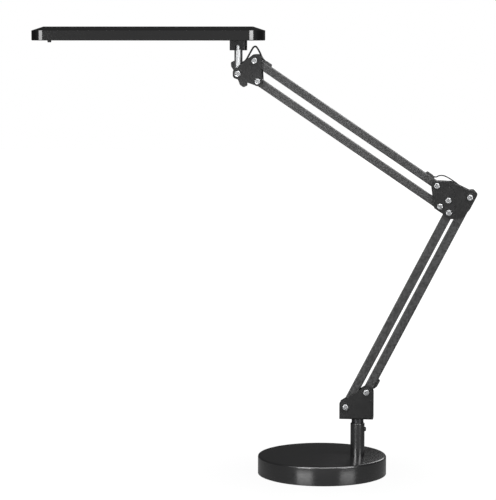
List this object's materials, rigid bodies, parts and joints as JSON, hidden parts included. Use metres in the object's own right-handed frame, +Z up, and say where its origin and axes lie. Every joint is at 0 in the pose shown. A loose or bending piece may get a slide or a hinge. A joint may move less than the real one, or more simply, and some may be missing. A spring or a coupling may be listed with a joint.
{
  "type": "desk lamp",
  "caption": "Desk lamp with a flat light bar on a double parallel-bar arm over a round weighted base.",
  "frame": {"origin": "centre of the round base, in the plane that the lamp stands on", "axes": "+Z up, -Y towards the front of the lamp; the arms lie in the XZ plane and the light bar reaches to -X"},
  "size_m": [0.6904, 0.202, 0.6948],
  "materials": {
    "charcoal_lacquer": "satin",
    "charcoal_hammered": "matte",
    "dark_plate": "satin",
    "housing_lacquer": "satin",
    "bottom_panel": "satin",
    "cast_iron": "matte",
    "soft_pad": "matte",
    "cable_rubber": "matte",
    "black_nylon": "matte",
    "blackened_steel": "satin",
    "zinc_steel": "satin",
    "bright_screw": "polished",
    "bright_stem": "polished",
    "black_turret": "satin",
    "opal_acrylic": "satin",
    "white_reflector": "gloss",
    "chip_board_white": "satin",
    "bare_aluminium": "satin",
    "green_board": "satin",
    "knob_plastic": "satin",
    "friction_disc": "matte"
  },
  "bodies": {
    "base": {"base_cover": "charcoal_lacquer", "base_weight": "cast_iron", "base_pad": "soft_pad", "cable_bush": "cable_rubber", "post_tube": "charcoal_lacquer", "post_foot_plug": "zinc_steel", "post_bolt": "zinc_steel", "post_bush": "black_nylon", "post_set_screw": "blackened_steel"},
    "foot_bracket": {"lower_bracket": "dark_plate", "swivel_spigot": "blackened_steel", "spigot_nut": "zinc_steel", "foot_screws": "bright_screw", "foot_nuts": "zinc_steel", "foot_sleeves": "zinc_steel", "foot_discs": "friction_disc"},
    "lower_left_bar": {"lower_left_tube": "charcoal_hammered", "lower_left_near_plug": "black_nylon", "lower_left_far_plug": "black_nylon"},
    "lower_right_bar": {"lower_right_tube": "charcoal_hammered", "lower_right_near_plug": "black_nylon", "lower_right_far_plug": "black_nylon"},
    "elbow": {"elbow_front_plate": "dark_plate", "elbow_rear_plate": "dark_plate", "elbow_front_cheek": "dark_plate", "elbow_rear_cheek": "dark_plate", "elbow_screws": "bright_screw", "elbow_nuts": "zinc_steel", "elbow_sleeves": "zinc_steel", "elbow_discs": "friction_disc", "elbow_cable": "cable_rubber"},
    "upper_top_bar": {"upper_top_tube": "charcoal_hammered", "upper_top_near_plug": "black_nylon", "upper_top_far_plug": "black_nylon", "wrist_cable_bar": "cable_rubber"},
    "upper_low_bar": {"upper_low_tube": "charcoal_hammered", "upper_low_near_plug": "black_nylon", "upper_low_far_plug": "black_nylon"},
    "wrist": {"wrist_front_plate": "dark_plate", "wrist_rear_plate": "dark_plate", "wrist_screws": "bright_screw", "wrist_nuts": "zinc_steel", "wrist_sleeves": "zinc_steel", "wrist_discs": "friction_disc", "clamp_bolt": "bright_screw", "wrist_cable_stem": "cable_rubber"},
    "stem": {"stem": "bright_stem", "stem_nut": "zinc_steel"},
    "light_bar": {"turret": "black_turret", "light_housing": "housing_lacquer", "light_bottom_plate": "bottom_panel", "light_screws": "blackened_steel", "opal_panel": "opal_acrylic", "reflector_trough": "white_reflector", "chip_board": "chip_board_white", "heat_bar": "bare_aluminium", "button_switch": "black_nylon", "driver_board": "green_board"},
    "push_button": {"push_button": "knob_plastic"},
    "wing_knob": {"wing_knob": "knob_plastic"}
  },
  "joints": [
    {"name": "base_swivel", "type": "hinge", "parent": "base", "child": "foot_bracket", "pos_m": [0.0553, 0, 0.0884], "axis": [0, 0, 1], "range_deg": [-170, 170]},
    {"name": "lower_arm_tilt", "type": "hinge", "parent": "foot_bracket", "child": "lower_left_bar", "pos_m": [0.0372, 0, 0.1074], "axis": [0, -1, 0], "range_deg": [-5, 55]},
    {"name": "lower_right_tilt", "type": "hinge", "parent": "foot_bracket", "child": "lower_right_bar", "pos_m": [0.0694, 0, 0.13096], "axis": [0, -1, 0], "range_deg": [-5, 55]},
    {"name": "elbow_level", "type": "hinge", "parent": "lower_left_bar", "child": "elbow", "pos_m": [0.19406, 0, 0.41131], "axis": [0, -1, 0], "range_deg": [-55, 5]},
    {"name": "upper_arm_tilt", "type": "hinge", "parent": "elbow", "child": "upper_top_bar", "pos_m": [0.17565, 0, 0.45261], "axis": [0, -1, 0], "range_deg": [-20, 45], "deforming": ["elbow_cable"]},
    {"name": "upper_low_tilt", "type": "hinge", "parent": "elbow", "child": "upper_low_bar", "pos_m": [0.18066, 0, 0.42101], "axis": [0, -1, 0], "range_deg": [-20, 45]},
    {"name": "wrist_level", "type": "hinge", "parent": "upper_top_bar", "child": "wrist", "pos_m": [-0.10518, 0, 0.64232], "axis": [0, -1, 0], "range_deg": [-45, 20], "deforming": ["wrist_cable_bar"]},
    {"name": "head_tilt", "type": "hinge", "parent": "wrist", "child": "stem", "pos_m": [-0.13117, 0, 0.62231], "axis": [0, -1, 0], "range_deg": [-20, 90], "deforming": ["wrist_cable_stem"]},
    {"name": "head_swivel", "type": "hinge", "parent": "stem", "child": "light_bar", "pos_m": [-0.13117, 0, 0.65831], "axis": [0, 0, 1], "range_deg": [-90, 90]},
    {"name": "knob_turn", "type": "hinge", "parent": "wrist", "child": "wing_knob", "pos_m": [-0.13117, 0.0113, 0.62231], "axis": [0, 1, 0], "range_deg": [-90, 90]},
    {"name": "button_press", "type": "slide", "parent": "light_bar", "child": "push_button", "axis": [0, 0, 1], "range_m": [0, 0.001], "stiffness_N_per_m": 400, "springref_m": -0.0005}
  ],
  "couplings": [
    {"joint": "lower_right_tilt", "follows": "lower_arm_tilt", "ratio": 1},
    {"joint": "elbow_level", "follows": "lower_arm_tilt", "ratio": -1},
    {"joint": "upper_low_tilt", "follows": "upper_arm_tilt", "ratio": 1},
    {"joint": "wrist_level", "follows": "upper_arm_tilt", "ratio": -1}
  ]
}
